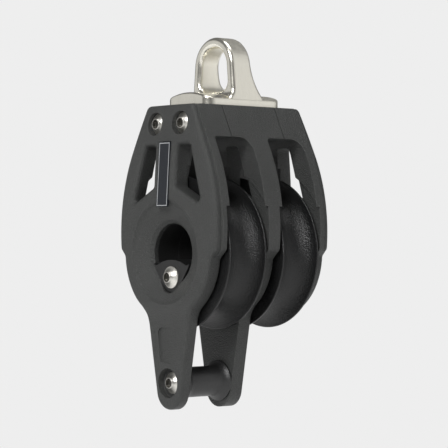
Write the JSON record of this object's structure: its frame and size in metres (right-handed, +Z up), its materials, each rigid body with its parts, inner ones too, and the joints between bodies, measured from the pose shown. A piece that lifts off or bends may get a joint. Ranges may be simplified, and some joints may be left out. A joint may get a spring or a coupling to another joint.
{
  "type": "double sheave block",
  "caption": "Double sheave rope block with ball-bearing rope wheels, hollow hub, fixed eye head and a becket below.",
  "frame": {"origin": "middle of the hollow hub, on the sheaves' axis, midway between the sheaves", "axes": "+X across the cheeks, +Y along the sheaves' axis from the becket side to the rear cheek, +Z up to the head's eye"},
  "size_m": [0.04, 0.0423, 0.0969],
  "materials": {
    "stainless_head": "polished with satin sides",
    "cheek_composite": "fine grained, matte",
    "sheave_composite": "satin",
    "race_composite": "satin",
    "bobbin_composite": "satin",
    "balls": "smooth acetal",
    "pins": "turned",
    "screws": "bright stainless",
    "badge": "black with a thin pale border"
  },
  "bodies": {
    "frame": {"head_eye": "stainless_head", "front_cheek": "cheek_composite", "middle_plate": "cheek_composite", "rear_cheek": "cheek_composite", "front_outer_race": "race_composite", "front_inner_race": "race_composite", "rear_outer_race": "race_composite", "rear_inner_race": "race_composite", "head_pins": "pins", "hub_pin": "pins", "front_head_screws": "screws", "rear_head_screws": "screws", "front_hub_screw": "screws", "rear_hub_screw": "screws", "becket_screw": "screws", "becket_bobbin": "bobbin_composite", "becket_nut": "screws", "front_badge": "badge"},
    "front_sheave": {"front_sheave": "sheave_composite"},
    "rear_sheave": {"rear_sheave": "sheave_composite"},
    "front_balls": {"front_outer_balls": "balls", "front_inner_balls": "balls"},
    "rear_balls": {"rear_outer_balls": "balls", "rear_inner_balls": "balls"}
  },
  "joints": [
    {"name": "front_sheave_spin", "type": "hinge", "parent": "frame", "child": "front_sheave", "pos_m": [0, -0.00913, 0], "axis": [0, 1, 0], "continuous": true},
    {"name": "rear_sheave_spin", "type": "hinge", "parent": "frame", "child": "rear_sheave", "pos_m": [0, 0.00913, 0], "axis": [0, 1, 0], "continuous": true},
    {"name": "front_balls_orbit", "type": "hinge", "parent": "frame", "child": "front_balls", "pos_m": [0, -0.00913, 0], "axis": [0, 1, 0], "continuous": true},
    {"name": "rear_balls_orbit", "type": "hinge", "parent": "frame", "child": "rear_balls", "pos_m": [0, 0.00913, 0], "axis": [0, 1, 0], "continuous": true}
  ],
  "couplings": [
    {"joint": "front_balls_orbit", "follows": "front_sheave_spin", "ratio": 0.559},
    {"joint": "rear_balls_orbit", "follows": "rear_sheave_spin", "ratio": 0.559}
  ]
}
